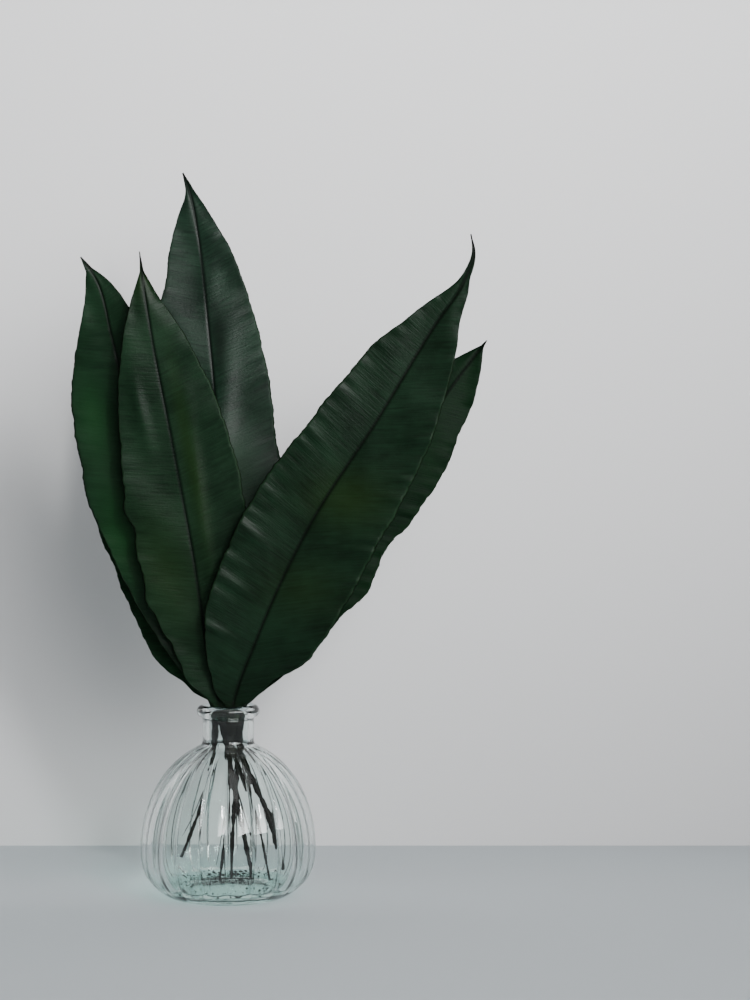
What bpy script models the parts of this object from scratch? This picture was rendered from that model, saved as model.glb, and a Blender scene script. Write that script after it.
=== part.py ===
"""A small clear ribbed glass bud vase that holds six long, dark green strap leaves.

Metres, +Z up. The origin is the centre of the vase's flat underside and the
front of the arrangement looks along -Y. Every leaf is one closed solid that
runs from the cut end of its stalk, inside the vase, to the tip of its blade.
All sizes below are in millimetres and are turned to metres by MM.
"""

import math

import bmesh
import bpy
import numpy as np

MM = 0.001

# ---------------------------------------------------------------- the vase
VASE_HEIGHT = 100.0
BELLY_RADIUS = 45.4
BELLY_LEVEL = 26.0
BELLY_RISE = 54.0          # half height of the belly's curve above its level
BELLY_DROP = 30.0          # and below it, where the underside cuts it off
DROP_POWER = 2.5           # the lower curve is fuller than an ellipse
NECK_RADIUS = 13.4
NECK_BLEND = 2.6           # how softly the belly runs into the neck
LIP_RADIUS = 16.5
LIP_HEIGHT = 6.4
BODY_WALL = 2.7
NECK_WALL = 3.2
FLOOR_THICKNESS = 3.4
RIB_COUNT = 20
RIB_DEPTH = 1.3            # how far the creases between the ribs cut in
FIRST_CREASE = math.radians(-86.4)
STEPS_PER_RIB = 3
RIB_FOOT = 8.0             # the ribs grow to full depth over this height
RIB_END = 78.0             # and die out here, over RIB_FADE below it
RIB_FADE = 22.0
OUTER_LEVELS = (1.2, 4.0, 8.0, 13.0, 19.0, 26.0, 34.0, 42.0, 50.0, 57.0, 64.0, 70.0, 75.5, 80.5)
INNER_LEVELS = (80.5, 76.0, 71.0, 65.0, 57.0, 46.0, 36.0, 26.0, 15.0, 7.5)
LIP_ANGLES = (-50, -15, 20, 55, 90)
FOOT_BEVEL = 1.0           # the underside and the floor end this far inside the skin
FLOOR_CURVE = 3.0
MOUTH_BEVEL = 1.4          # the lip's inner edge: how far it opens, from and to
MOUTH_TOP = 0.6
MOUTH_BOTTOM = 2.6

# -------------------------------------------------------------- the leaves
STALK_WIDTH = 1.7          # half width and half thickness of a flattened stalk
STALK_THICKNESS = 0.9
BLADE_THICKNESS = 0.34     # half thickness of the blade and of its midrib
MIDRIB_THICKNESS = 0.8
MIDRIB_WIDTH = 2.2
TIP_TAPER = 12.0           # the blade thins over this last stretch, to this share
TIP_SHARE = 0.25
RING_STEPS = 8             # steps across the blade, from margin to margin
STALK_STATIONS = 9
BLADE_STATIONS = 22

# route: the midrib from the cut end of the stalk to the tip; collar: the knot
# where the blade starts; tail: length of the thread-like drip tip; half_width:
# greatest half widths left and right of the midrib, seen from the front;
# widest: where they are, as a share of the blade; base_power: how fast the left
# and right margins leave the stalk; tip_power: how fast they close on the tip;
# facing: the way the upper face looks, in degrees from -Y towards +X, at the
# collar and at the tip; fold: the angle that each half of the blade lifts
# towards the front, at the same two places.
LEAVES = {
    "leaf_front_right": {
        "route": [(-4, -13, 9), (0.4, -10.5, 50), (1.6, -7.9, 80), (2.8, -7.2, 98),
                  (16, -13.5, 136), (45, -21, 197), (78, -27, 248), (108, -32, 297),
                  (122, -35, 318), (127, -37, 333), (125.5, -38, 342)],
        "collar": 3, "tail": 20, "half_width": (33, 36), "widest": 0.38,
        "base_power": (3.9, 2.9), "tip_power": (2.1, 2.3), "facing": (0, -4), "fold": (10, 5),
    },
    "leaf_front_left": {
        "route": [(24, -12, 9), (15, -9, 46), (2.2, -5, 78), (-3.6, -4.8, 98),
                  (-10.5, -7.5, 132), (-17, -11, 176), (-28, -16, 238), (-37, -20, 286),
                  (-42, -22.5, 318), (-44, -24, 335)],
        "collar": 3, "tail": 9, "half_width": (29, 31.5), "widest": 0.46,
        "base_power": (2.5, 2.6), "tip_power": (2.3, 2.2), "facing": (-2, 4), "fold": (5, 4),
    },
    "leaf_left": {
        "route": [(-25, -12, 22), (-12, -6, 56), (-7, -2.8, 80), (-7, -2.4, 98),
                  (-20, -2.8, 132), (-37, -5, 188), (-50, -7, 244), (-60, -9, 293),
                  (-69, -10, 324), (-76, -10, 334)],
        "collar": 3, "tail": 7, "half_width": (29.5, 28), "widest": 0.54,
        "base_power": (1.7, 1.9), "tip_power": (2.7, 2.3), "facing": (-6, -12), "fold": (4, 3),
    },
    "leaf_back_right": {
        "route": [(2, -3, 8), (3.6, -1.6, 45), (6.0, -0.4, 80), (6.8, -0.2, 98),
                  (20, 2, 126), (69, 11, 202), (101, 16, 245), (124, 20, 276),
                  (137, 22, 293)],
        "collar": 3, "tail": 3, "half_width": (25, 26), "widest": 0.5,
        "base_power": (2.8, 2.8), "tip_power": (2.6, 2.9), "facing": (6, 8), "fold": (3, 5),
    },
    "leaf_back_left": {
        "route": [(13, 0.5, 8), (6, 1.4, 45), (-1.4, 1.4, 80), (-4.2, 1.2, 98),
                  (-26, 4.5, 134), (-47, 12, 186), (-60, 19, 239), (-67, 23, 276),
                  (-71.5, 26, 303)],
        "collar": 3, "tail": 5, "half_width": (21.5, 22), "widest": 0.54,
        "base_power": (1.9, 1.9), "tip_power": (2.4, 2.4), "facing": (-8, -14), "fold": (3, 3),
    },
    "leaf_back": {
        "route": [(31, 2.5, 12), (21, 3.2, 47), (5.5, 3.4, 78), (1.6, 3.4, 98),
                  (-2.4, 12, 142), (-5, 20, 207), (-9, 27, 262), (-13, 32, 300),
                  (-19, 38, 350), (-24.5, 41, 377), (-28, 42, 386)],
        "collar": 3, "tail": 8, "half_width": (32, 33), "widest": 0.44,
        "base_power": (2.6, 2.6), "tip_power": (2.5, 2.1), "facing": (3, 0), "fold": (-4, 5),
    },
}

GLASS = ("clear_glass", (0.84, 0.93, 0.91, 1.0), 0.03)
LEAF = ("dark_green_leaf", (0.013, 0.040, 0.022, 1.0), 0.42)


def clear_scene():
    for item in list(bpy.data.objects):
        bpy.data.objects.remove(item, do_unlink=True)


def material(name, colour, roughness):
    """One Principled finish, made once and shared by the pieces that have it."""
    finish = bpy.data.materials.get(name) or bpy.data.materials.new(name)
    finish.use_nodes = True
    shader = finish.node_tree.nodes["Principled BSDF"]
    shader.inputs["Base Color"].default_value = colour
    shader.inputs["Roughness"].default_value = roughness
    shader.inputs["Metallic"].default_value = 0.0
    return finish


def loft(name, rings, collection, finish):
    """Joins equally long rings of points, in metres, into one closed body.

    Each ring turns anticlockwise seen against the direction of the loft, so the
    faces look outwards; the first and last rings are closed with flat caps.
    """
    mesh = bmesh.new()
    rows = [[mesh.verts.new(point) for point in ring] for ring in rings]
    for lower, upper in zip(rows, rows[1:]):
        for here, corner in enumerate(lower):
            after = (here + 1) % len(lower)
            mesh.faces.new((corner, lower[after], upper[after], upper[here]))
    mesh.faces.new(rows[0][::-1])
    mesh.faces.new(rows[-1])
    for face in mesh.faces:
        face.smooth = True
    data = bpy.data.meshes.new(name)
    mesh.to_mesh(data)
    mesh.free()
    data.set_sharp_from_angle(angle=math.radians(40))
    data.materials.append(finish)
    piece = bpy.data.objects.new(name, data)
    collection.objects.link(piece)
    return piece


# ---------------------------------------------------------------- the vase
def belly_radius(level, wall):
    """Radius of the belly's skin, wall millimetres inside the outer one."""
    reach = BELLY_RADIUS - wall
    if level >= BELLY_LEVEL:
        share = min((level - BELLY_LEVEL) / (BELLY_RISE - wall), 1.0)
        return reach * math.sqrt(1.0 - share ** 2)
    share = (BELLY_LEVEL - level) / (BELLY_DROP - wall)
    return reach * (1.0 - share ** DROP_POWER) ** (1.0 / DROP_POWER)


def skin_radius(level, wall, neck):
    """The belly's curve and the straight neck, run softly into each other."""
    belly = belly_radius(level, wall)
    return (belly ** NECK_BLEND + neck ** NECK_BLEND) ** (1.0 / NECK_BLEND)


def rib_strength(level):
    """Share of the full rib depth: none at the underside and on the neck."""
    foot = min(level / RIB_FOOT, 1.0)
    neck = min(max((RIB_END - level) / RIB_FADE, 0.0), 1.0)
    return foot * neck


def vase_ring(level, radius, depth):
    """One level of the vase, pressed in by depth at every crease."""
    ring = []
    for step in range(RIB_COUNT * STEPS_PER_RIB):
        across = math.pi * step / STEPS_PER_RIB
        turn = FIRST_CREASE + 2.0 * across / RIB_COUNT
        here = radius - depth * (1.0 - abs(math.sin(across)))
        ring.append((here * math.cos(turn) * MM, here * math.sin(turn) * MM, level * MM))
    return ring


def make_vase(collection):
    """Underside, ribbed outside, round lip, smooth inside and thick floor."""
    foot = skin_radius(0.0, 0.0, NECK_RADIUS)
    rings = [vase_ring(0.0, foot - FOOT_BEVEL, 0.0)]
    for level in OUTER_LEVELS:
        radius = skin_radius(level, 0.0, NECK_RADIUS)
        rings.append(vase_ring(level, radius, RIB_DEPTH * rib_strength(level)))
    lip_level = VASE_HEIGHT - LIP_HEIGHT / 2.0
    rings.append(vase_ring(lip_level - LIP_HEIGHT / 2.0, NECK_RADIUS, 0.0))
    roll = LIP_RADIUS - NECK_RADIUS
    for angle in LIP_ANGLES:
        turn = math.radians(angle)
        rings.append(vase_ring(lip_level + LIP_HEIGHT / 2.0 * math.sin(turn),
                               NECK_RADIUS + roll * math.cos(turn), 0.0))
    inner_neck = NECK_RADIUS - NECK_WALL
    rings.append(vase_ring(VASE_HEIGHT - MOUTH_TOP, inner_neck + MOUTH_BEVEL, 0.0))
    rings.append(vase_ring(VASE_HEIGHT - MOUTH_BOTTOM, inner_neck, 0.0))
    for level in INNER_LEVELS:
        rings.append(vase_ring(level, skin_radius(level, BODY_WALL, inner_neck), 0.0))
    floor = skin_radius(FLOOR_THICKNESS, BODY_WALL, inner_neck)
    rings.append(vase_ring(FLOOR_THICKNESS, floor - FLOOR_CURVE, 0.0))
    return loft("vase", rings, collection, material(*GLASS))


# -------------------------------------------------------------- the leaves
def smooth_route(knots, collar, stalk_stations, blade_stations):
    """Points along a smooth curve through the knots, with their distances.

    The curve is a Catmull-Rom spline by chord length. The stations are evenly
    spread up to the collar knot, and crowd towards both ends of the blade.
    """
    knots = np.array(knots, float)
    chord = np.append(0.0, np.cumsum(np.linalg.norm(np.diff(knots, axis=0), axis=1)))
    slope = np.gradient(knots, chord, axis=0)
    fine = np.linspace(0.0, chord[-1], 900)
    left = np.clip(np.searchsorted(chord, fine, side="right") - 1, 0, len(knots) - 2)
    gap = chord[left + 1] - chord[left]
    share = ((fine - chord[left]) / gap)[:, None]
    gap = gap[:, None]
    curve = ((1 + 2 * share) * (1 - share) ** 2 * knots[left]
             + share * (1 - share) ** 2 * gap * slope[left]
             + share ** 2 * (3 - 2 * share) * knots[left + 1]
             - share ** 2 * (1 - share) * gap * slope[left + 1])
    length = np.append(0.0, np.cumsum(np.linalg.norm(np.diff(curve, axis=0), axis=1)))
    start = np.interp(chord[collar], fine, length)
    stalk = np.linspace(0.0, start, stalk_stations, endpoint=False)
    spread = np.linspace(0.0, 1.0, blade_stations)
    spread = 0.4 * spread + 0.3 * (1.0 - np.cos(math.pi * spread))
    stations = np.append(stalk, start + (length[-1] - start) * spread)
    points = np.stack([np.interp(stations, length, curve[:, axis]) for axis in range(3)], axis=1)
    return points, stations, start


def margin(share, leaf, half):
    """Half width from collar to tip, on the left (half 0) or the right (half 1)."""
    widest = leaf["widest"]
    before = np.clip(1.0 - share / widest, 0.0, 1.0)
    after = np.clip((share - widest) / (1.0 - widest), 0.0, 1.0)
    shape = 1.0 - before ** leaf["base_power"][half] - after ** leaf["tip_power"][half]
    stalk = STALK_WIDTH * (1.0 - 0.8 * share)
    return np.hypot(stalk, leaf["half_width"][half] * shape)


def leaf_rings(leaf):
    """Cross-sections of one leaf, from the round stalk to the flat blade."""
    points, stations, start = smooth_route(leaf["route"], leaf["collar"],
                                           STALK_STATIONS, BLADE_STATIONS)
    along = np.gradient(points, stations, axis=0)
    along /= np.linalg.norm(along, axis=1)[:, None]
    share = np.clip((stations - start) / (stations[-1] - leaf["tail"] - start), 0.0, 1.0)
    looks = np.radians(leaf["facing"][0] + (leaf["facing"][1] - leaf["facing"][0]) * share)
    front = np.stack([np.sin(looks), -np.cos(looks), np.zeros_like(looks)], axis=1)
    front -= along * np.sum(front * along, axis=1)[:, None]
    front /= np.linalg.norm(front, axis=1)[:, None]
    side = np.cross(along, front)

    left = margin(share, leaf, 0)
    right = margin(share, leaf, 1)
    blade = np.clip((np.minimum(left, right) - STALK_WIDTH) / (3.0 * STALK_WIDTH), 0.0, 1.0)
    blade = np.where(share > leaf["widest"], 1.0, blade * blade * (3.0 - 2.0 * blade))[:, None]
    tip = np.clip((stations[-1] - stations) / TIP_TAPER, TIP_SHARE, 1.0)[:, None]

    turn = math.pi * np.arange(2 * RING_STEPS) / RING_STEPS
    across = np.cos(turn)[None, :]
    across = np.sign(across) * np.abs(across) ** (1.0 + 0.8 * blade)
    half = np.where(across > 0.0, right[:, None], left[:, None])
    offset = across * half
    rim = np.sqrt(np.clip(1.0 - across ** 2, 0.0, 1.0))
    rib = MIDRIB_THICKNESS * np.exp(-(offset / MIDRIB_WIDTH) ** 2)
    flat = np.minimum(BLADE_THICKNESS + rib, half) * rim ** 0.5 * tip
    thick = STALK_THICKNESS * rim * (1.0 - blade) + flat * blade
    thick = thick * np.where(np.sin(turn) > 0.0, -1.0, 1.0)[None, :]

    fold = np.radians(leaf["fold"][0] + (leaf["fold"][1] - leaf["fold"][0]) * share)[:, None]
    lift = np.abs(offset) * np.sin(fold) * blade
    width = offset * np.cos(fold * blade)
    rings = (points[:, None, :] + side[:, None, :] * width[:, :, None]
             + front[:, None, :] * (lift + thick)[:, :, None])
    return rings * MM


def make_leaf(name, leaf, collection):
    rings = [[tuple(point) for point in ring] for ring in leaf_rings(leaf)]
    return loft(name, rings, collection, material(*LEAF))


def main():
    clear_scene()
    collection = bpy.data.collections.new("vase_of_long_green_leaves")
    bpy.context.scene.collection.children.link(collection)
    make_vase(collection)
    for name, leaf in LEAVES.items():
        make_leaf(name, leaf, collection)


main()
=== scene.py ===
"""Looks for a small ribbed glass bud vase that holds six long, dark green strap leaves.

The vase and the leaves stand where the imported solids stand. Each one is replaced by
a finer surface: leaves with rippled margins, a sunken midrib and fine side veins, and
a pressed glass vase with rounded ribs. Loose fibres beside the stalks and dry crumbs on
the vase's floor are two pieces of their own. Lengths below are in millimetres unless a
comment says otherwise, and MM turns them to metres.
"""

import math

import bpy
import numpy as np
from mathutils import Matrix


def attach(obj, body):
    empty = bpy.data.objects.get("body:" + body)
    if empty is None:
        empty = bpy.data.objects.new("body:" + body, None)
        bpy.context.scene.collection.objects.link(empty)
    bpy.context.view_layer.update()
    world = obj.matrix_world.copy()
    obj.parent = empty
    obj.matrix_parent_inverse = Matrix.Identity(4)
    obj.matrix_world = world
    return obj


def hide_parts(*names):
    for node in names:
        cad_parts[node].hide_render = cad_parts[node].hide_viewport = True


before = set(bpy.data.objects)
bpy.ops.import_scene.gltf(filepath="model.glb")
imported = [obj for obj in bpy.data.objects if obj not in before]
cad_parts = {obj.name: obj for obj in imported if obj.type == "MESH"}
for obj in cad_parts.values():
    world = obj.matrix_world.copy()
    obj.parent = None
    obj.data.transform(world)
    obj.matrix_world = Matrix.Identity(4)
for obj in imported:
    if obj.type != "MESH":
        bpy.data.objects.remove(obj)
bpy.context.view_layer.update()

MM = 0.001

# ---------------------------------------------------------------- the vase
# The sizes down to the thickness of the floor are those of the solid.
VASE_HEIGHT = 100.0
BELLY_RADIUS = 45.4
BELLY_LEVEL = 26.0
BELLY_RISE = 54.0          # half height of the belly's curve above its level
BELLY_DROP = 30.0          # and below it, where the underside cuts it off
DROP_POWER = 2.5           # the lower curve is fuller than an ellipse
NECK_RADIUS = 13.4
NECK_BLEND = 2.6           # how softly the belly runs into the neck
LIP_RADIUS = 16.5
LIP_HEIGHT = 6.4
BODY_WALL = 2.7
NECK_WALL = 3.2
FLOOR_THICKNESS = 3.4
FLOOR_EDGE = 7.4           # level where the floor has curved up into the inner wall
FLOOR_CURVE = 8.0          # the curve starts this far inside the wall at the floor's level
FOOT_RING = 7.0            # width of the ring that the vase stands on
HOLLOW_SLOPE = 2.0         # width of the slope from that ring up into the hollow
HOLLOW_HEIGHT = 0.9        # the underside inside the ring stands this high
HOLLOW_CENTRE = 4.0        # radii of the rings that close the underside and the floor
FLOOR_CENTRE = 3.0
HEEL_HEIGHT = 1.0          # the heel's round edge, and how far it stands in
HEEL_WIDTH = 1.2
HEEL_INSET = 0.6
# The bore opens towards the lip: depth below the top, and how much wider it is there.
MOUTH = ((0.5, 1.9), (1.6, 0.7), (3.4, 0.0))

# Angles or levels of the profile's rings: the first, the last and how many.
HEEL_ARC = (-90.0, -20.0, 6)
BELLY_RINGS = (1.0, 78.0, 58)
NECK_RINGS = (79.5, 92.0, 8)
LIP_ARC = (-80.0, 90.0, 14)
BORE_RINGS = (92.0, 82.0, 7)
INNER_RINGS = (80.0, FLOOR_EDGE, 48)
FLOOR_ARC = (0.0, 90.0, 8)

RIB_COUNT = 20
RIB_DEPTH = 1.5
RIB_START = 1.0            # the ribs begin here and grow to full depth over RIB_GROWTH
RIB_GROWTH = 14.0
RIB_END = 79.0             # and die out here, over RIB_FADE below it
RIB_FADE = 20.0
CREASE_DEPTH = 0.45        # the narrow crease between two ribs, on the outside only
CREASE_WIDTH = 0.55
FIRST_CREASE = math.radians(-86.4)
STEPS_PER_RIB = 18

# -------------------------------------------------------------- the leaves
ROUTE_SAMPLES = 2400       # points along a route before they are spaced evenly
ALONG_STEP = 0.85          # distance between two sections of a leaf
ACROSS_STEPS = 56          # steps from margin to margin, on the front and on the back
CROWDING = 1.3             # power that crowds those steps towards the midrib
STRAND_REACH = 22.0        # how far below the collar the neck width runs out to a strand
STRAND_TAPER = 0.45        # share of its width that the strand loses over TAPER_REACH
TAPER_REACH = 60.0
FRAY = 0.3                 # share of its width by which the strand is ragged
FRAY_WAVES = (17.0, 7.0, 2.9)
CORE_TAPER = 0.9           # share of its width that the core loses from collar to tip
STALK_THICKNESS = 0.5      # half thicknesses of stalk and blade
BLADE_THICKNESS = 0.22
BLADE_START = 6.0          # the stalk turns to blade while it grows this much wider
TIP_TAPER = 12.0           # the blade thins over this last stretch, to TIP_SHARE
TIP_SHARE = 0.2
WAVE_GAIN = 1.4            # for sums of waves, because their crests rarely meet
GROOVE_WIDTH = 0.65        # the sunken midrib
GROOVE_DEPTH = 0.25
MARGIN_WAVES = (41.0, 23.0, 13.0, 7.0)   # lengths of the margin's slow waves
MARGIN_WAVE = 0.5                        # and their height
NICK_WAVES = (5.3, 3.1, 2.2)             # the same for its small nicks
NICK = 0.16
LEAST_WIDTH = 0.2
DRIP_SHARE = 0.12          # share of the drip tip's width that is left at its point
RIPPLE_LEFT = (17.0, 11.0, 8.5, 6.0)     # lengths of the ripples and of the sway
RIPPLE_RIGHT = (19.0, 12.0, 9.0, 6.5)
RIPPLE_START = 0.35        # the ripples start at this share of the way to the margin
SWAY_WAVES = (97.0, 61.0, 43.0)
SWAY_SLANT = 30.0          # how far the sway runs ahead at the right margin
BEND_SOFTNESS = 0.8        # square of the distance over which a bend is rounded

# Where a value is a pair, it is left and then right of the midrib, seen from the front,
# but facing and fold are at the collar and then at the tip.
# These are the solids' own: route: the midrib from the cut end of the stalk to the tip;
# collar: the knot where the blade starts; tail: length of the drip tip; half_width: the
# greatest half widths; widest: where they are, as a share of the blade; base_power and
# tip_power: how fast the margins leave the stalk and close on the tip.
# The rest was set for each leaf:
# facing: the way the front looks, in degrees from -Y towards +X;
# fold: the angle in degrees by which each half lifts;
# ripple: height of the small waves near the margins; sway: of the blade's long waves;
# drip: half width of the drip tip; seed: phases of all the waves;
# strand: half width of the stalk inside the vase; neck: the same in the vase's neck;
# veins: angle between the side veins and the midrib, in degrees;
# bend: (distance from the collar, slope, degrees), a line across the blade, beyond
# which it bends back;
# patches: as dents, with an amount of yellower green for height, and of painted shade where negative;
# some of that green is painted light, as noted at the leaves;
# lobes: (0 left or 1 right, distance from the collar, how far the margin steps out,
# over what length);
# dents: (distance from the collar, distance from the midrib, lean from the midrib in
# degrees, length, width, height).
LEAVES = {
    "leaf_front_right": {
        "route": [(-4, -13, 9), (0.4, -10.5, 50), (1.6, -7.9, 80), (2.8, -7.2, 98),
                  (16, -13.5, 136), (45, -21, 197), (78, -27, 248), (108, -32, 297),
                  (122, -35, 318), (127, -37, 333), (125.5, -38, 342)],
        "collar": 3, "tail": 20, "half_width": (33, 36), "widest": 0.38,
        "base_power": (3.9, 2.9), "tip_power": (2.1, 2.3), "facing": (0, -4), "fold": (10, 5),
        "ripple": (0.5, 0.5), "sway": 0.6, "drip": 2.0, "seed": 3,
        "strand": 1.3, "neck": 3.1, "veins": (80, 57),
        "patches": [(128, 10, 60, 20, 14, 0.5), (75, 12, 60, 20, 14, 0.25)],
        "lobes": [(0, 200, 2.3, 14), (0, 170, 0.4, 12), (0, 138, -1.5, 22), (0, 7, 2.2, 5),
                  (1, 6, 1.6, 4), (1, 24, -3.5, 8), (1, 41, 0.8, 6), (1, 238, -1.2, 10)],
        "dents": [(147, -26, 76, 9, 2.6, 1.0), (112, -30, 76, 9, 2.4, 1.0),
                  (90, -28, 74, 10, 2.8, 1.2), (63, -24, 76, 10, 2.6, 1.0),
                  (38, -22, 80, 9, 2.2, 0.9), (91, 33, 60, 8, 1.8, 1.0),
                  (109, 31, 60, 8, 1.8, 1.0), (117, 32, 60, 7, 1.5, 0.9),
                  (143, 31, 60, 7, 1.6, 0.9), (153, 28, 60, 7, 1.8, 0.9),
                  (173, 24, 60, 8, 1.8, 0.9)],
    },
    "leaf_front_left": {
        "route": [(24, -12, 9), (15, -9, 46), (2.2, -5, 78), (-3.6, -4.8, 98),
                  (-10.5, -7.5, 132), (-17, -11, 176), (-28, -16, 238), (-37, -20, 286),
                  (-42, -22.5, 318), (-44, -24, 335)],
        "collar": 3, "tail": 9, "half_width": (29, 31.5), "widest": 0.46,
        "base_power": (2.5, 2.6), "tip_power": (2.3, 2.2), "facing": (-2, 1), "fold": (5, 0),
        "ripple": (0.3, 0.4), "sway": 0.9, "drip": 0.9, "seed": 11,
        "strand": 1.2, "neck": 3.0, "veins": (76, 74), "bend": (197, -1.1, 4),
        # Patches: the first is the leaf's own olive green, the second a painted highlight along the
        # crest of the fold beside the midrib, the third painted light on the tip beyond the bend.
        "patches": [(76, -15, 8, 30, 14, 0.35), (130, 8, 0, 44, 4, 0.5), (236, 0, 0, 14, 12, 0.8)],
        "lobes": [(0, 112, 2.2, 7), (0, 100, -1.4, 4), (0, 62, 2.4, 7), (0, 38, -1.6, 4),
                  (0, 18, 2.8, 7), (1, 215, -1.2, 10)],
        "dents": [(122, 9, 4, 34, 3.6, 1.2), (160, -13, 2, 17, 3.6, 1.6),
                  (60, 8, 0, 26, 3.0, 0.8)],
    },
    "leaf_left": {
        "route": [(-25, -12, 22), (-12, -6, 56), (-7, -2.8, 80), (-7, -2.4, 98),
                  (-20, -2.8, 132), (-37, -5, 188), (-50, -7, 244), (-60, -9, 293),
                  (-69, -10, 324), (-76, -10, 334)],
        "collar": 3, "tail": 7, "half_width": (29.5, 28), "widest": 0.54,
        "base_power": (1.7, 1.9), "tip_power": (2.7, 2.3), "facing": (-6, -12), "fold": (4, 3),
        "ripple": (0.4, 0.3), "sway": 1.0, "drip": 1.1, "seed": 23,
        "strand": 1.5, "neck": 2.1, "veins": (72, 72),
        # The second patch is partly the leaf's own yellower green and partly painted light over the
        # shade that leaf_front_left casts on it.
        "patches": [(162, -18, 0, 20, 9, 0.9), (104, -18, 0, 26, 11, 1.0)],
        "lobes": [(0, 170, 1.6, 20), (0, 122, 2.2, 12), (0, 214, -1.6, 12), (0, 236, 1.8, 8)],
        "dents": [(197, -12, 90, 8, 1.6, -0.9), (187, -12, 86, 9, 1.8, -1.2),
                  (206, -6, 88, 7, 1.6, 0.8)],
    },
    "leaf_back_right": {
        "route": [(2, -3, 8), (3.6, -1.6, 45), (6.0, -0.4, 80), (6.8, -0.2, 98),
                  (20, 2, 126), (69, 11, 202), (101, 16, 245), (124, 20, 276),
                  (137, 22, 293)],
        "collar": 3, "tail": 3, "half_width": (25, 26), "widest": 0.5,
        "base_power": (2.8, 2.8), "tip_power": (2.6, 2.9), "facing": (6, 8), "fold": (3, 5),
        "ripple": (0.5, 0.7), "sway": 0.8, "drip": 0.7, "seed": 31,
        "strand": 1.4, "neck": 2.3, "veins": (66, 66), "patches": [],
        "lobes": [(1, 185, -1.5, 14), (1, 115, -2.6, 12), (1, 88, 2.6, 12)],
        "dents": [],
    },
    "leaf_back_left": {
        "route": [(13, 0.5, 8), (6, 1.4, 45), (-1.4, 1.4, 80), (-4.2, 1.2, 98),
                  (-26, 4.5, 134), (-47, 12, 186), (-60, 19, 239), (-67, 23, 276),
                  (-71.5, 26, 303)],
        "collar": 3, "tail": 5, "half_width": (21.5, 22), "widest": 0.54,
        "base_power": (1.9, 1.9), "tip_power": (2.4, 2.4), "facing": (-8, -14), "fold": (3, 3),
        "ripple": (0.7, 0.5), "sway": 0.8, "drip": 0.7, "seed": 41,
        "strand": 1.8, "neck": 2.8, "veins": (66, 66), "patches": [],
        "lobes": [(0, 38, 4.6, 17), (0, 14, 3.0, 8), (0, 92, -2.0, 12)],
        "dents": [],
    },
    "leaf_back": {
        "route": [(31, 2.5, 12), (21, 3.2, 47), (5.5, 3.4, 78), (1.6, 3.4, 98),
                  (-2.4, 12, 142), (-5, 20, 207), (-9, 27, 262), (-13, 32, 300),
                  (-19, 38, 350), (-24.5, 41, 377), (-28, 42, 386)],
        "collar": 3, "tail": 8, "half_width": (32, 33), "widest": 0.44,
        "base_power": (2.6, 2.6), "tip_power": (2.5, 2.1), "facing": (3, 0), "fold": (-4, 5),
        "ripple": (0.3, 0.4), "sway": 0.9, "drip": 1.6, "seed": 53,
        "strand": 2.2, "neck": 3.6, "veins": (72, 70),
        # The two dark patches are painted shade on the right half, where it turns from the light; the
        # third is painted light on the right half.
        "patches": [(193, 5, 6, 14, 4, -0.9), (215, 16, 20, 16, 8, -0.4), (120, 8, 0, 30, 14, 0.4)],
        "lobes": [(0, 252, 2.2, 14), (0, 270, 1.4, 9), (0, 218, 1.6, 12), (1, 150, -1.6, 22),
                  (1, 240, 1.8, 34)],
        "dents": [(168, 5, 8, 44, 7.0, 1.5), (232, 4, 6, 22, 6.0, 0.8)],
    },
}

# ---------------------------------------- loose fibres and crumbs in the vase
FIBRE_SEED = 19
FIBRES_A_STALK = 2
FIBRE_RINGS = 40
FIBRE_SIDES = 6
FIBRE_START = 14.0         # below the collar
FIBRE_END = (1.0, 0.4)     # from 1 mm above the stalk's cut end to 0.4 of the way up
FIBRE_DRIFT = (1.6, 1.2, 0.6)            # usual drift across, forwards and up
FIBRE_SPREAD = 1.6         # the drift grows with the square of the way, up to this
FIBRE_OFFSET = (0.4, 0.5, 0.0)           # shares of the drift that it starts with
FIBRE_WIDTHS = (0.25, 0.5)               # half widths
FIBRE_TAPER = 0.75         # share of its width that a fibre loses towards its end

CRUMB_SEED = 7
CRUMB_COUNT = 420
LEAST_CRUMB = 0.4          # half lengths; most crumbs are near the least
CRUMB_RANGE = 1.5
CRUMB_WIDTH = 0.5          # shares of the length, and what is added to the height
CRUMB_HEIGHT = 0.45
CRUMB_EXTRA = 0.1
CRUMB_EDGE = (22.0, 33.4)  # most crumbs lie between these radii, on the floor's curve
EDGE_SHARE = 0.8
CRUMB_FIELD = 26.0         # and the rest anywhere inside this radius
BACK_SHARE = 0.65          # share that lies about this bearing, in radians
BACK_BEARING = (1.7, 0.6)
FARTHEST_OUT = 0.95        # share of the floor's curve that a crumb's height follows
CRUMB_GAP = 0.05           # a crumb's height over the floor

# -------------------------------------------------------- colours and finish
# For each leaf: the two greens of its feathering, the yellower green of its patches,
# which in places is painted light, the painted shade along the midrib's groove, the
# roughness of the wax and how strongly it reflects.
LEAF_LOOKS = {
    "leaf_front_right": ("09150C", "112517", "1A2A0C", "030603", 0.34, 0.1),
    "leaf_front_left": ("0C1A10", "15291A", "1C2F11", "030805", 0.36, 0.085),
    "leaf_left": ("0D1D11", "142A1A", "14341A", "030804", 0.36, 0.12),
    "leaf_back_right": ("08160C", "0E2112", "132A0F", "030804", 0.42, 0.03),
    "leaf_back_left": ("0D1E11", "142E1B", "122610", "020302", 0.5, 0.05),
    "leaf_back": ("0C1912", "182C20", "173620", "030705", 0.36, 0.16),
}
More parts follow.
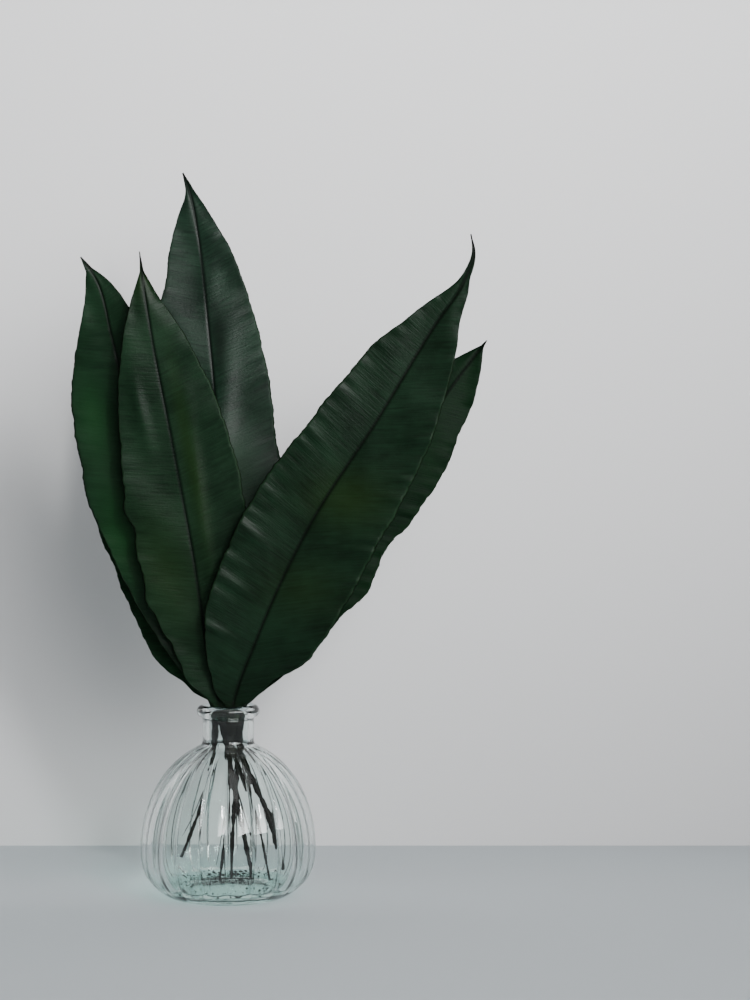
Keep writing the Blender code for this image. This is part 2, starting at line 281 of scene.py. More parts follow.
# Near black of the negative patches: painted shade.
PAINTED_SHADE_PATCH = "030604"
UNDERSIDE = "2E4A30"
DRIED_MARGIN = "0D0A07"
STALK = "0C0A07"
DRY_LEAF = "0E0B08"
THIN_GLASS = "F3FAF8"
THICK_GLASS = "DDF1EC"
LIGHT_THROUGH_GLASS = "EEF6F4"
TABLE_LINEN = "B9C0C4"
WALL_PAINT = "D5D5D6"
ROOM_LIGHT = "F4F5F6"
ROOM_STRENGTH = 0.25
NO_WAX = 0.03              # how strongly the bare margin and stalk reflect

# --------------------------------------------------------- the stage, metres
FLOOR_LEVEL = -0.0001      # just under the foot, so that the two don't share a plane
STAGE_SIDE = 2.0
STAGE_BACK = 2.5
WALL_AT = 0.150            # behind the vase's axis
WALL_TOP = 2.4


# ------------------------------------------------------------- node helpers
def linear(colour):
    """An sRGB hex colour such as "1B2D21" as linear red, green, blue and alpha 1."""
    parts = [int(colour[start:start + 2], 16) / 255.0 for start in (0, 2, 4)]
    return tuple(p / 12.92 if p <= 0.04045 else ((p + 0.055) / 1.055) ** 2.4 for p in parts) + (1.0,)


def add(tree, kind, values=None, links=None, **settings):
    """Adds one shader node with its settings, its socket values and its incoming links."""
    made = tree.nodes.new("ShaderNode" + kind)
    for key, value in settings.items():
        setattr(made, key, value)
    for key, value in (values or {}).items():
        made.inputs[key].default_value = value
    for key, source in (links or {}).items():
        tree.links.new(source, made.inputs[key])
    return made


def new_material(name):
    """An empty node material with its output."""
    made = bpy.data.materials.new(name)
    made.use_nodes = True
    made.node_tree.nodes.clear()
    return made, made.node_tree, add(made.node_tree, "OutputMaterial")


# ---------------------------------------------------------------- materials
def leaf_material(name, dark, light, fresh_and_lit, rib, gloss, shine):
    """Preserved strap leaf: a leathery, waxy blade with feathered side veins.

    dark and light are the two greens of the feathering; the next colour is the yellower
    green of some patches, which in places is painted light, and rib is painted shade
    along the midrib's groove; gloss is the roughness of the wax and shine how strongly
    it reflects. The pattern follows the blade: its notes hold each point's distances
    from the midrib, from the collar and from the margin, then its place along the side
    veins' lean, the amount of patch colour, negative where shade is painted, and 1 on
    the underside.
    """
    made, tree, output = new_material(name)
    blade = add(tree, "Attribute", attribute_name="blade")
    place = add(tree, "SeparateXYZ", links={0: blade.outputs["Vector"]})
    across, along, inset = place.outputs
    growth = add(tree, "Attribute", attribute_name="growth")
    parts = add(tree, "SeparateXYZ", links={0: growth.outputs["Vector"]})
    slanted, patch, under = parts.outputs
    away = add(tree, "Math", links={0: across}, operation="ABSOLUTE").outputs[0]
    coordinate = add(tree, "TexCoord").outputs["Object"]
    # Side veins stand a little over 1 mm apart, each runs some 15 mm before it fades,
    # and the underside has its own.
    vein_place = add(tree, "CombineXYZ", links={0: slanted, 1: across, 2: under})
    stretch = add(tree, "Mapping", {"Scale": (0.8, 0.06, 9.0)}, {"Vector": vein_place.outputs[0]})
    veins = add(tree, "TexNoise", {"Scale": 1.0, "Detail": 3.0, "Roughness": 0.65},
                {"Vector": stretch.outputs[0]}).outputs["Fac"]
    # Mottling in patches of 25 mm and less, from the way the sap dried.
    mottle = add(tree, "TexNoise", {"Scale": 40.0, "Detail": 4.0, "Roughness": 0.6},
                 {"Vector": coordinate}).outputs["Fac"]
    # Veins and mottling together mix the two greens.
    both = add(tree, "Math", {1: 0.9}, {0: veins, 2: mottle}, operation="MULTIPLY_ADD")
    tone = add(tree, "MapRange", {1: 0.72, 2: 1.18}, {0: both.outputs[0]})
    green = add(tree, "MixRGB", {1: linear(dark), 2: linear(light)}, {0: tone.outputs[0]})
    # Listed patches: yellower green where positive, which in places is painted light, and near black
    # painted shade where negative.
    fresh_and_lit_share = add(tree, "Math", {1: 0.9}, {0: patch}, operation="MULTIPLY", use_clamp=True)
    fresher_and_lit = add(tree, "MixRGB", {2: linear(fresh_and_lit)},
                  {0: fresh_and_lit_share.outputs[0], 1: green.outputs[0]})
    painted_shade_share = add(tree, "Math", {1: -0.7}, {0: patch}, operation="MULTIPLY", use_clamp=True)
    painted_shade_mix = add(tree, "MixRGB", {2: linear(PAINTED_SHADE_PATCH)},
                 {0: painted_shade_share.outputs[0], 1: fresher_and_lit.outputs[0]})
    # The underside is paler, and a thin dark line along the midrib's groove is painted shade.
    paler_share = add(tree, "Math", {1: 0.35}, {0: under}, operation="MULTIPLY")
    paler = add(tree, "MixRGB", {2: linear(UNDERSIDE)},
                {0: paler_share.outputs[0], 1: painted_shade_mix.outputs[0]})
    groove_shade_share = add(tree, "MapRange", {1: 0.25, 2: 1.5, 3: 0.85, 4: 0.0}, {0: away})
    ribbed = add(tree, "MixRGB", {2: linear(rib)},
                 {0: groove_shade_share.outputs[0], 1: paler.outputs[0]})
    # The margin has dried to a thin brown-black line about 0.3 mm wide.
    edge_share = add(tree, "MapRange", {1: 0.12, 2: 0.5, 3: 0.9, 4: 0.0}, {0: inset})
    edged = add(tree, "MixRGB", {2: linear(DRIED_MARGIN)},
                {0: edge_share.outputs[0], 1: ribbed.outputs[0]})
    # Below the collar the stalk is brown-black and dull.
    stalk_share = add(tree, "MapRange", {1: -6.0, 2: 6.0, 3: 1.0, 4: 0.0}, {0: along})
    coloured = add(tree, "MixRGB", {2: linear(STALK)},
                   {0: stalk_share.outputs[0], 1: edged.outputs[0]})

    # The wax is glossier in some patches; margin and stalk have none.
    wax = add(tree, "MapRange", {1: 0.3, 2: 0.7, 3: gloss - 0.06, 4: gloss + 0.1}, {0: mottle})
    bare = add(tree, "Math", links={0: edge_share.outputs[0], 1: stalk_share.outputs[0]},
               operation="MAXIMUM")
    wax_share = add(tree, "MapRange", {3: shine, 4: NO_WAX}, {0: bare.outputs[0]})
    # Leathery grain of about 1 mm on top of the raised veins.
    grain = add(tree, "TexNoise", {"Scale": 800.0, "Detail": 4.0, "Roughness": 0.6},
                {"Vector": coordinate}).outputs["Fac"]
    relief = add(tree, "Math", {1: 0.4}, {0: grain, 2: veins}, operation="MULTIPLY_ADD")
    bump = add(tree, "Bump", {"Strength": 0.45, "Distance": 0.0005}, {"Height": relief.outputs[0]})
    shader = add(tree, "BsdfPrincipled", {"IOR": 1.45},
                 {"Base Color": coloured.outputs[0], "Roughness": wax.outputs[0],
                  "Specular IOR Level": wax_share.outputs[0], "Normal": bump.outputs[0]})
    tree.links.new(shader.outputs[0], output.inputs["Surface"])
    return made


def glass_material():
    """Pressed soda-lime glass: clear, with the faint sea green that iron gives it.

    The green fades from 4 mm up, in the thick foot, to 22 mm, where the wall is thin.
    Light on its way to the leaves and the table passes straight through, so that what
    stands in and behind the glass is lit.
    """
    made, tree, output = new_material("pressed soda-lime glass")
    coordinate = add(tree, "TexCoord")
    height = add(tree, "SeparateXYZ", links={0: coordinate.outputs["Object"]}).outputs[2]
    thick = add(tree, "MapRange", {1: 0.004, 2: 0.022, 3: 1.0, 4: 0.0}, {0: height})
    tint = add(tree, "MixRGB", {1: linear(THIN_GLASS), 2: linear(THICK_GLASS)},
               {0: thick.outputs[0]})
    glass = add(tree, "BsdfPrincipled", {"Roughness": 0.01, "IOR": 1.5, "Transmission Weight": 1.0},
                {"Base Color": tint.outputs[0]})
    clear = add(tree, "BsdfTransparent", {"Color": linear(LIGHT_THROUGH_GLASS)})
    light_path = add(tree, "LightPath")
    mixed = add(tree, "MixShader", links={0: light_path.outputs["Is Shadow Ray"],
                                          1: glass.outputs[0], 2: clear.outputs[0]})
    tree.links.new(mixed.outputs[0], output.inputs["Surface"])
    return made


def matt_material(name, colour, one_sided=False):
    """Linen, wall paint or dry leaf: plain and matt, with no wax or glaze on it. A
    one-sided surface can't be seen from behind."""
    made, tree, output = new_material(name)
    shader = add(tree, "BsdfPrincipled", {"Base Color": linear(colour), "Roughness": 0.85,
                                          "Specular IOR Level": 0.2})
    surface = shader
    if one_sided:
        side = add(tree, "NewGeometry")
        clear = add(tree, "BsdfTransparent")
        surface = add(tree, "MixShader", links={0: side.outputs["Backfacing"],
                                                1: shader.outputs[0], 2: clear.outputs[0]})
    tree.links.new(surface.outputs[0], output.inputs["Surface"])
    return made


# ------------------------------------------------------------------- meshes
def piece_from_grid(name, grid, finish, notes=None):
    """A closed smooth body from a grid of points, in metres: rings by points of a ring.

    Each ring joins the next with one band of quads and closes on itself; the first
    and last rings are closed with one flat face each. notes holds named sets of
    three numbers a point, which the finish reads.
    """
    rings, steps = grid.shape[:2]
    index = np.arange(rings * steps).reshape(rings, steps)
    after = np.roll(index, -1, axis=1)
    bands = np.stack([index[:-1], after[:-1], after[1:], index[1:]], axis=-1).reshape(-1, 4)
    corners = np.concatenate([bands.ravel(), index[0][::-1], index[-1]])
    sizes = np.concatenate([np.full(len(bands), 4), [steps, steps]])
    starts = np.append(0, np.cumsum(sizes)[:-1])
    mesh = bpy.data.meshes.new(name)
    mesh.vertices.add(rings * steps)
    mesh.vertices.foreach_set("co", grid.astype(np.float32).ravel())
    mesh.loops.add(len(corners))
    mesh.loops.foreach_set("vertex_index", corners.astype(np.int32))
    mesh.polygons.add(len(sizes))
    mesh.polygons.foreach_set("loop_start", starts.astype(np.int32))
    mesh.update(calc_edges=True)
    mesh.polygons.foreach_set("use_smooth", np.ones(len(sizes), bool))
    for title, values in (notes or {}).items():
        made = mesh.attributes.new(title, "FLOAT_VECTOR", "POINT")
        made.data.foreach_set("vector", values.astype(np.float32).ravel())
    mesh.materials.append(finish)
    mesh.validate()
    piece = bpy.data.objects.new(name, mesh)
    bpy.context.scene.collection.objects.link(piece)
    return piece


def piece_from_faces(name, points, faces, finish):
    """A mesh with flat faces from points, in metres, and lists of point numbers."""
    mesh = bpy.data.meshes.new(name)
    mesh.from_pydata(points, [], faces)
    mesh.materials.append(finish)
    piece = bpy.data.objects.new(name, mesh)
    bpy.context.scene.collection.objects.link(piece)
    return piece


def belly_radius(level, wall):
    """Half an ellipse above the belly's level and a fuller quarter below it: the reach
    times the root of one less the height squared, with DROP_POWER for 2 below."""
    reach = BELLY_RADIUS - wall
    up = np.clip((level - BELLY_LEVEL) / (BELLY_RISE - wall), 0.0, 1.0)
    down = np.clip((BELLY_LEVEL - level) / (BELLY_DROP - wall), 0.0, 1.0)
    return reach * np.where(level >= BELLY_LEVEL, np.sqrt(1.0 - up ** 2),
                            (1.0 - down ** DROP_POWER) ** (1.0 / DROP_POWER))


def skin_radius(level, wall, neck):
    """The belly's curve and the straight neck run softly into each other: the sum of
    both raised to NECK_BLEND, and then its root."""
    belly = belly_radius(level, wall)
    return (belly ** NECK_BLEND + neck ** NECK_BLEND) ** (1.0 / NECK_BLEND)


def floor_reach():
    """Radius of the flat middle of the inner floor, and of its edge at the inner wall."""
    levels = np.array([FLOOR_THICKNESS, FLOOR_EDGE])
    inner = skin_radius(levels, BODY_WALL, NECK_RADIUS - NECK_WALL)
    return inner[0] - FLOOR_CURVE, inner[1]


def vase_profile():
    """Levels and radii of the vase's rings, and how far each ring is ribbed and creased.

    They run from the middle of the underside out to the heel, up the outside, over the
    round lip, down the bore and the inside, and along a quarter of an ellipse to the
    middle of the floor.
    """
    foot = skin_radius(np.array([0.0]), 0.0, NECK_RADIUS)[0]
    bore = NECK_RADIUS - NECK_WALL
    heel, lip, floor = [np.radians(np.linspace(*arc)) for arc in (HEEL_ARC, LIP_ARC, FLOOR_ARC)]
    outside = np.concatenate([np.linspace(*BELLY_RINGS), np.linspace(*NECK_RINGS)])
    inside = np.concatenate([np.linspace(*BORE_RINGS), np.linspace(*INNER_RINGS)])
    deep, wider = np.array(MOUTH).T
    lip_level = VASE_HEIGHT - LIP_HEIGHT / 2.0
    flat, edge = floor_reach()
    stretches = [   # levels, radii, share of the ribs, share of the creases
        ([HOLLOW_HEIGHT, HOLLOW_HEIGHT, 0.0],
         [HOLLOW_CENTRE, foot - (FOOT_RING + HOLLOW_SLOPE), foot - FOOT_RING], 1.0, 1.0),
        (HEEL_HEIGHT + HEEL_HEIGHT * np.sin(heel),
         foot - HEEL_WIDTH + HEEL_WIDTH * np.cos(heel) - HEEL_INSET, 1.0, 1.0),
        (outside, skin_radius(outside, 0.0, NECK_RADIUS), 1.0, 1.0),
        (lip_level + LIP_HEIGHT / 2.0 * np.sin(lip),
         NECK_RADIUS + (LIP_RADIUS - NECK_RADIUS) * np.cos(lip), 0.0, 0.0),
        (VASE_HEIGHT - deep, bore + wider, 0.0, 0.0),
        (inside, skin_radius(inside, BODY_WALL, bore), 1.0, 0.0),
        (FLOOR_EDGE - (FLOOR_EDGE - FLOOR_THICKNESS) * np.sin(floor[1:]),
         flat + (edge - flat) * np.cos(floor[1:]), 0.0, 0.0),
        ([FLOOR_THICKNESS], [FLOOR_CENTRE], 0.0, 0.0)]
    levels = np.concatenate([stretch[0] for stretch in stretches])
    radii = np.concatenate([stretch[1] for stretch in stretches])
    lengths = [len(stretch[0]) for stretch in stretches]
    ribbed = np.repeat([stretch[2] for stretch in stretches], lengths)
    creased = np.repeat([stretch[3] for stretch in stretches], lengths)
    strength = (np.clip((levels - RIB_START) / RIB_GROWTH, 0.0, 1.0)
                * np.clip((RIB_END - levels) / RIB_FADE, 0.0, 1.0))
    return levels, radii, strength * ribbed, strength * creased


def make_vase(finish):
    """The vase: a turned profile, pressed in along creases that fade at foot and neck.

    Between two creases the wall is one round rib: the radius drops by the rib depth
    times one less the size of a sine wave, and in each crease by a narrow bell more.
    Steps round the vase crowd towards the creases.
    """
    levels, radii, ribbed, creased = vase_profile()
    within = (1.0 - np.cos(np.pi * np.arange(STEPS_PER_RIB) / STEPS_PER_RIB)) / 2.0
    turn = np.pi * (np.arange(RIB_COUNT)[:, None] + within[None, :]).ravel()
    angle = FIRST_CREASE + 2.0 * turn / RIB_COUNT
    wave = 1.0 - np.abs(np.sin(turn))
    nearest = np.abs(turn - np.pi * np.round(turn / np.pi)) * 2.0 / RIB_COUNT * radii[:, None]
    crease = CREASE_DEPTH * np.exp(-(nearest / CREASE_WIDTH) ** 2) * creased[:, None]
    radius = radii[:, None] - (RIB_DEPTH * ribbed)[:, None] * wave[None, :] - crease
    grid = np.stack([radius * np.cos(angle), radius * np.sin(angle),
                     np.repeat(levels[:, None], len(turn), axis=1)], axis=-1)
    return piece_from_grid("glass_vase", grid * MM, finish)


def smooth_route(knots, collar):
    """Points evenly spaced along a smooth curve through the knots, their distances from
    its start and the collar's.

    Between two knots the curve is the cubic that meets both with the slope that the
    knots on either side give.
    """
    knots = np.array(knots, float)
    chord = np.append(0.0, np.cumsum(np.linalg.norm(np.diff(knots, axis=0), axis=1)))
    slope = np.gradient(knots, chord, axis=0)
    fine = np.linspace(0.0, chord[-1], ROUTE_SAMPLES)
    left = np.clip(np.searchsorted(chord, fine, side="right") - 1, 0, len(knots) - 2)
    gap = (chord[left + 1] - chord[left])[:, None]
    share = (fine - chord[left])[:, None] / gap
    curve = ((1 + 2 * share) * (1 - share) ** 2 * knots[left]
             + share * (1 - share) ** 2 * gap * slope[left]
             + share ** 2 * (3 - 2 * share) * knots[left + 1]
             - share ** 2 * (1 - share) * gap * slope[left + 1])
    length = np.append(0.0, np.cumsum(np.linalg.norm(np.diff(curve, axis=0), axis=1)))
    start = np.interp(chord[collar], fine, length)
    stations = np.linspace(0.0, length[-1], int(length[-1] / ALONG_STEP))
    points = np.stack([np.interp(stations, length, curve[:, axis]) for axis in range(3)], axis=1)
    return points, stations, start


def waves(along, lengths, seed):
    """Sum of sine waves of the given lengths with seeded phases, about 1 high. Their
    heights fall evenly from 1 to a half, and are then scaled by their sum."""
    phases = np.random.default_rng(seed).uniform(0.0, 2.0 * np.pi, len(lengths))
    heights = np.linspace(1.0, 0.5, len(lengths))
    total = sum(height * np.sin(2.0 * np.pi * along / length + phase)
                for height, length, phase in zip(heights, lengths, phases))
    return total / heights.sum() * WAVE_GAIN


def stalk_width(along, share, leaf):
    """Half width of the stalk: the neck's width at the collar, a thin ragged strand
    below it, and above it a core that grows thinner towards the tip."""
    below = np.clip(-along / STRAND_REACH, 0.0, 1.0)
    strand = leaf["neck"] + (leaf["strand"] - leaf["neck"]) * below * below * (3.0 - 2.0 * below)
    fray = 1.0 + FRAY * waves(along, FRAY_WAVES, leaf["seed"] + 2) * below
    end = 1.0 - STRAND_TAPER * np.clip((-along - STRAND_REACH) / TAPER_REACH, 0.0, 1.0)
    return np.where(along > 0.0, leaf["neck"] * (1.0 - CORE_TAPER * share), strand * fray * end)


def margin(along, share, leaf, half):
    """Half width from collar to tip on one side: two power curves that meet at the
    widest place, the widths of stalk and drip tip joined on as the root of the sum of
    squares, slow waves, small nicks and lobes."""
    widest = leaf["widest"]
    before = np.clip(1.0 - share / widest, 0.0, 1.0)
    after = np.clip((share - widest) / (1.0 - widest), 0.0, 1.0)
    shape = 1.0 - before ** leaf["base_power"][half] - after ** leaf["tip_power"][half]
    to_point = np.clip((along[-1] - along) / leaf["tail"], DRIP_SHARE, 1.0)
    drip = leaf["drip"] * to_point * (share > widest)
    core = np.hypot(stalk_width(along, share, leaf), drip)
    width = np.hypot(core, leaf["half_width"][half] * shape)
    width += waves(along, MARGIN_WAVES, leaf["seed"] + half) * MARGIN_WAVE * shape
    width += waves(along, NICK_WAVES, leaf["seed"] + 8 + half) * NICK * shape
    for side, place, size, reach in leaf["lobes"]:
        if side == half:
            width += size * np.exp(-((along - place) / reach) ** 2)
    return np.maximum(width, LEAST_WIDTH)


def dent_height(along, offset, dents):
    """Sum of long bumps: each falls off as a bell along and across its own line, and
    the line leans from the midrib out towards the margin and the tip."""
    height = np.zeros_like(offset)
    for place, out, lean, length, width, size in dents:
        turn = math.radians(lean)
        step_out, step_up = (offset - out) * (1.0 if out > 0.0 else -1.0), along - place
        forward = step_out * math.sin(turn) + step_up * math.cos(turn)
        beside = step_out * math.cos(turn) - step_up * math.sin(turn)
        height += size * np.exp(-(forward / length) ** 2 - (beside / width) ** 2)
    return height


def midrib_frame(points, stations, share, leaf):
    """The leaf's side and front directions at each point of the midrib.

    The front starts as the level direction that the leaf faces there, loses what runs
    along the midrib and is made 1 long; the side is square to it and to the midrib.
    """
    tangent = np.gradient(points, stations, axis=0)
    tangent /= np.linalg.norm(tangent, axis=1)[:, None]
    looks = np.radians(leaf["facing"][0] + (leaf["facing"][1] - leaf["facing"][0]) * share)
    front = np.stack([np.sin(looks), -np.cos(looks), np.zeros_like(looks)], axis=1)
    front -= tangent * np.sum(front * tangent, axis=1)[:, None]
    front /= np.linalg.norm(front, axis=1)[:, None]
    return np.cross(tangent, front), front


def blade_lift(along, across, offset, slanted, fold, leaf):
    """How far the blade stands off the plane of its midrib and its side direction.

    Each half lifts by the fold angle. Short ripples grow with the square of the way to
    the margin and run along the side veins, long waves cross the whole blade, dents are
    added, a bell sinks the midrib, and beyond a bend's line the height falls at the
    bend's angle.
    """
    ripple_left = waves(slanted, RIPPLE_LEFT, leaf["seed"] + 5) * leaf["ripple"][0]
    ripple_right = waves(slanted, RIPPLE_RIGHT, leaf["seed"] + 6) * leaf["ripple"][1]
    reach = np.clip((np.abs(across) - RIPPLE_START) / (1.0 - RIPPLE_START), 0.0, 1.0) ** 2
    ripple = np.where(across > 0.0, ripple_right, ripple_left) * reach
    sway = waves(slanted + across * SWAY_SLANT, SWAY_WAVES, leaf["seed"] + 7) * leaf["sway"]
    groove = np.exp(-(offset / GROOVE_WIDTH) ** 2)
    lift = np.abs(offset) * np.sin(fold) + ripple + sway * np.abs(across) ** 0.5
    lift += dent_height(along, offset, leaf["dents"]) - GROOVE_DEPTH * groove
    if "bend" in leaf:
        place, slope, angle = leaf["bend"]
        beyond = (along - place - slope * offset) / math.hypot(1.0, slope)
        lift -= math.tan(math.radians(angle)) * (beyond + np.sqrt(beyond ** 2 + BEND_SOFTNESS)) / 2.0
    return lift


def leaf_grid(leaf):
    """Points of one leaf in millimetres: cross-sections carried along the midrib, and
    the two sets of notes that its finish reads.

    A section is an ellipse where it is stalk and a thin lens where it is blade, as
    wide as the two margins. It runs over the underside from the right margin to the
    left and back over the front, and where it is blade it is lifted as a whole.
    """
    points, stations, start = smooth_route(leaf["route"], leaf["collar"])
    along = stations - start
    share = np.clip(along / (stations[-1] - leaf["tail"] - start), 0.0, 1.0)
    side, front = midrib_frame(points, stations, share, leaf)

    # blade is 0 on the stalk and 1 on the blade; tip thins the blade at its end.
    left, right = margin(along, share, leaf, 0), margin(along, share, leaf, 1)
    wider = np.minimum(left, right) - leaf["neck"]
    spread = np.clip(wider / BLADE_START, 0.0, 1.0) * (along > 0.0)
    blade = np.where(share > leaf["widest"], 1.0, spread * spread * (3.0 - 2.0 * spread))[:, None]
    tip = np.clip((stations[-1] - stations) / TIP_TAPER, TIP_SHARE, 1.0)[:, None]

    # across is 1 at the right margin, 0 at the midrib and -1 at the left margin.
    turn = math.pi * np.arange(2 * ACROSS_STEPS) / ACROSS_STEPS
    even = 1.0 - 2.0 * np.abs(turn / math.pi - np.where(turn > math.pi, 2.0, 0.0))
    even = np.sign(even) * np.abs(even) ** CROWDING
    across = np.cos(turn)[None, :] * (1.0 - blade) + even[None, :] * blade
    half = np.where(across > 0.0, right[:, None], left[:, None])
    offset = across * half
    rim = np.sqrt(np.clip(1.0 - across ** 2, 0.0, 1.0))
    back = np.where(turn > math.pi, -1.0, 1.0)[None, :]

    # slanted is where the side vein through a point leaves the midrib.
    leans = np.tan(np.radians(90.0 - np.array(leaf["veins"], float)))
    slanted = along[:, None] - np.abs(offset) * np.where(across > 0.0, leans[1], leans[0])
    flat = np.minimum(BLADE_THICKNESS, half) * rim ** 0.5 * tip
    thick = (STALK_THICKNESS * rim * (1.0 - blade) + flat * blade) * -back
    fold = np.radians(leaf["fold"][0] + (leaf["fold"][1] - leaf["fold"][0]) * share)[:, None]
    lift = blade_lift(along[:, None], across, offset, slanted, fold, leaf) * blade + thick
    width = offset * np.cos(fold * blade)
    grid = (points[:, None, :] + side[:, None, :] * width[:, :, None]
            + front[:, None, :] * lift[:, :, None])
    notes = np.stack([offset, np.broadcast_to(along[:, None], offset.shape),
                      (1.0 - np.abs(across)) * half], axis=-1)
    # Amount of each point's patch colour: yellower green, in places painted light, and painted shade
    # where negative.
    patch = dent_height(along[:, None], offset, leaf["patches"])
    growth = np.stack([slanted, patch, np.broadcast_to(back > 0.0, offset.shape)], axis=-1)
    return grid, notes, growth


def make_leaf(name, leaf, finish):
    """The leaf's piece, smooth, with its notes for the finish."""
    grid, notes, growth = leaf_grid(leaf)
    return piece_from_grid(name + "_blade", grid * MM, finish, {"blade": notes, "growth": growth})


def make_fibres(finish):
    """Loose fibres that have split from the stalks inside the vase.

    Some follow each stalk from the neck down: a six-sided thread that drifts away
    from the stalk with the square of the way down and grows thin towards its end.
    """
    chance = np.random.default_rng(FIBRE_SEED)
    lowest, highest = FIBRE_END
    turn = 2.0 * np.pi * np.arange(FIBRE_SIDES) / FIBRE_SIDES
    ring = np.stack([np.cos(turn), -np.sin(turn), np.zeros(FIBRE_SIDES)], axis=1)
    down = np.linspace(0.0, 1.0, FIBRE_RINGS)
    spread = np.linspace(0.0, FIBRE_SPREAD, FIBRE_RINGS)[:, None] ** 2
    grids = []
    for leaf in LEAVES.values():
        points, stations, start = smooth_route(leaf["route"], leaf["collar"])
        for drift in chance.normal(0.0, 1.0, (FIBRES_A_STALK, 3)) * FIBRE_DRIFT:
            drift[1] = -abs(drift[1])
            way = np.linspace(start - FIBRE_START, chance.uniform(lowest, highest * start), FIBRE_RINGS)
            centre = np.stack([np.interp(way, stations, points[:, axis]) for axis in range(3)], axis=1)
            centre += drift * spread + drift * FIBRE_OFFSET
            thick = chance.uniform(*FIBRE_WIDTHS) * (1.0 - FIBRE_TAPER * down ** 2)
            grids.append(centre[:, None, :] + thick[:, None, None] * ring[None])
    corners = np.concatenate(grids)
    index = np.arange(len(corners) * FIBRE_SIDES).reshape(len(grids), FIBRE_RINGS, FIBRE_SIDES)
    after = np.roll(index, -1, axis=2)
    bands = np.stack([index[:, :-1], after[:, :-1], after[:, 1:], index[:, 1:]], axis=-1)
    faces = bands.reshape(-1, 4).tolist() + index[:, 0, ::-1].tolist() + index[:, -1].tolist()
    return piece_from_faces("stalk_fibres", (corners.reshape(-1, 3) * MM).tolist(), faces, finish)


def make_crumbs(finish):
    """Dry leaf crumbs on the vase's inner floor, most of them out on its curve and
    towards the back.

    Each is a grain with eight faces, flattened, turned and placed at random. Its height
    is that of the floor, which beyond the flat middle rises as a quarter of an ellipse,
    and a long crumb lies higher by the slope under it.
    """
    chance = np.random.default_rng(CRUMB_SEED)
    corners = np.array([[1, 0, 0], [0, 1, 0], [-1, 0, 0], [0, -1, 0], [0, 0, 1], [0, 0, -1]], float)
    faces = np.array([[0, 1, 4], [1, 2, 4], [2, 3, 4], [3, 0, 4],
                      [1, 0, 5], [2, 1, 5], [3, 2, 5], [0, 3, 5]])
    size = LEAST_CRUMB + CRUMB_RANGE * chance.random(CRUMB_COUNT) ** 4
    shape = np.stack([size, size * CRUMB_WIDTH, size * CRUMB_HEIGHT + CRUMB_EXTRA], axis=1)
    turn = chance.uniform(0.0, 2.0 * np.pi, CRUMB_COUNT)
    reach = np.where(chance.random(CRUMB_COUNT) < EDGE_SHARE, chance.uniform(*CRUMB_EDGE, CRUMB_COUNT),
                     np.sqrt(chance.random(CRUMB_COUNT)) * CRUMB_FIELD)
    bearing = np.where(chance.random(CRUMB_COUNT) < BACK_SHARE,
                       chance.normal(*BACK_BEARING, CRUMB_COUNT),
                       chance.uniform(0.0, 2.0 * np.pi, CRUMB_COUNT))
    grains = corners[None] * shape[:, None, :]
    cosine, sine = np.cos(turn)[:, None], np.sin(turn)[:, None]
    turned = np.stack([grains[..., 0] * cosine - grains[..., 1] * sine,
                       grains[..., 0] * sine + grains[..., 1] * cosine, grains[..., 2]], axis=-1)
    flat, edge = floor_reach()
    out = np.clip((reach - flat) / (edge - flat), 0.0, FARTHEST_OUT)
    level = np.sqrt(1.0 - out ** 2)
    up = FLOOR_EDGE - FLOOR_THICKNESS
    slope = up / (edge - flat) * out / level
    rise = FLOOR_THICKNESS + up * (1.0 - level) + size * slope + shape[:, 2] + CRUMB_GAP
    centre = np.stack([reach * np.cos(bearing), reach * np.sin(bearing), rise], axis=1)
    points = (turned + centre[:, None, :]).reshape(-1, 3) * MM
    index = (faces[None] + len(corners) * np.arange(CRUMB_COUNT)[:, None, None]).reshape(-1, 3)
    return piece_from_faces("leaf_crumbs", points.tolist(), index.tolist(), finish)


# -------------------------------------------------------------------- stage
def make_stage():
    """A plain pale floor and a pale wall behind that shows only from the front."""
    near, far, side = -STAGE_SIDE, STAGE_BACK, STAGE_SIDE
    flat = [(-side, near, FLOOR_LEVEL), (side, near, FLOOR_LEVEL),
            (side, far, FLOOR_LEVEL), (-side, far, FLOOR_LEVEL)]
    linen = matt_material("pale table linen", TABLE_LINEN)
    piece_from_faces("floor", flat, [(0, 1, 2, 3)], linen)
    upright = [(-side, WALL_AT, 0.0), (side, WALL_AT, 0.0),
               (side, WALL_AT, WALL_TOP), (-side, WALL_AT, WALL_TOP)]
    paint = matt_material("matt wall paint", WALL_PAINT, one_sided=True)
    piece_from_faces("wall", upright, [(0, 1, 2, 3)], paint)


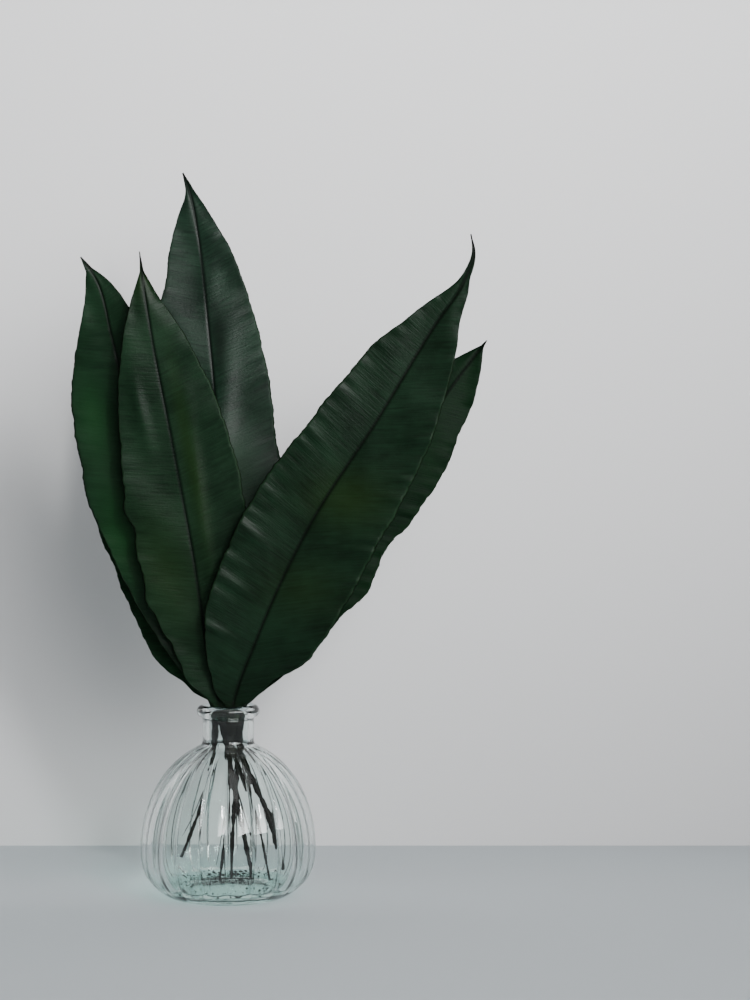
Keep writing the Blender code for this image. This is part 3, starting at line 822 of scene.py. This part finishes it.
def make_light(name, place, aim, size, power, spread):
    """An area light aimed at a point; spread is the width of its beam in degrees.

    A lamp shines straight down until it is tipped by the slope of the line to the aim
    and turned to that line's bearing.
    """
    data = bpy.data.lights.new(name, "AREA")
    data.shape = "RECTANGLE"
    data.size, data.size_y = size
    data.energy = power
    data.spread = math.radians(spread)
    lamp = bpy.data.objects.new(name, data)
    lamp.location = place
    direction = np.array(aim) - np.array(place)
    pitch = math.atan2(math.hypot(direction[0], direction[1]), -direction[2])
    turn = math.atan2(direction[0], direction[1])
    lamp.rotation_euler = (pitch, 0.0, -turn)
    bpy.context.scene.collection.objects.link(lamp)


def make_lights():
    """A wide window in front on the right, aimed at the upper left of the wall so that
    its beam fades to the lower right, one narrow bright pane of it that puts a streak
    on the glass, a pale ceiling and a dim room all round. Places, aims and sizes are in
    metres, and powers in watts."""
    make_light("window", (0.63, -1.00, 0.80), (-0.19, 0.15, 1.02), (1.15, 1.05), 19.0, 96.0)
    make_light("bright pane", (0.50, -0.95, 0.72), (0.0, 0.0, 0.14), (0.08, 0.30), 1.1, 70.0)
    make_light("ceiling", (-0.35, -0.80, 1.80), (-0.15, 0.15, 0.35), (1.6, 1.2), 4.0, 180.0)
    world = bpy.data.worlds.new("dim room")
    world.use_nodes = True
    background = world.node_tree.nodes["Background"]
    background.inputs["Color"].default_value = linear(ROOM_LIGHT)
    background.inputs["Strength"].default_value = ROOM_STRENGTH
    bpy.context.scene.world = world


def make_camera():
    """Level view from the front, a little to the right of the vase."""
    data = bpy.data.cameras.new("camera")
    data.lens = 72.0
    data.clip_start, data.clip_end = 0.05, 20.0
    camera = bpy.data.objects.new("camera", data)
    camera.location = (0.077, -1.050, 0.2074)
    camera.rotation_euler = (math.radians(90.0), 0.0, 0.0)
    bpy.context.scene.collection.objects.link(camera)
    bpy.context.scene.camera = camera


def main():
    """Camera, stage and lights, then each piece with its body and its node."""
    make_camera()
    make_stage()
    make_lights()
    vase = make_vase(glass_material())
    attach(vase, "root")
    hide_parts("vase")
    for name, leaf in LEAVES.items():
        title = "preserved leaf, " + name.removeprefix("leaf_").replace("_", " ")
        finish = leaf_material(title, *LEAF_LOOKS[name])
        piece = make_leaf(name, leaf, finish)
        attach(piece, "root")
        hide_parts(name)
    dry = matt_material("dry leaf crumbs and fibres", DRY_LEAF)
    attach(make_crumbs(dry), "root")
    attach(make_fibres(dry), "root")


main()
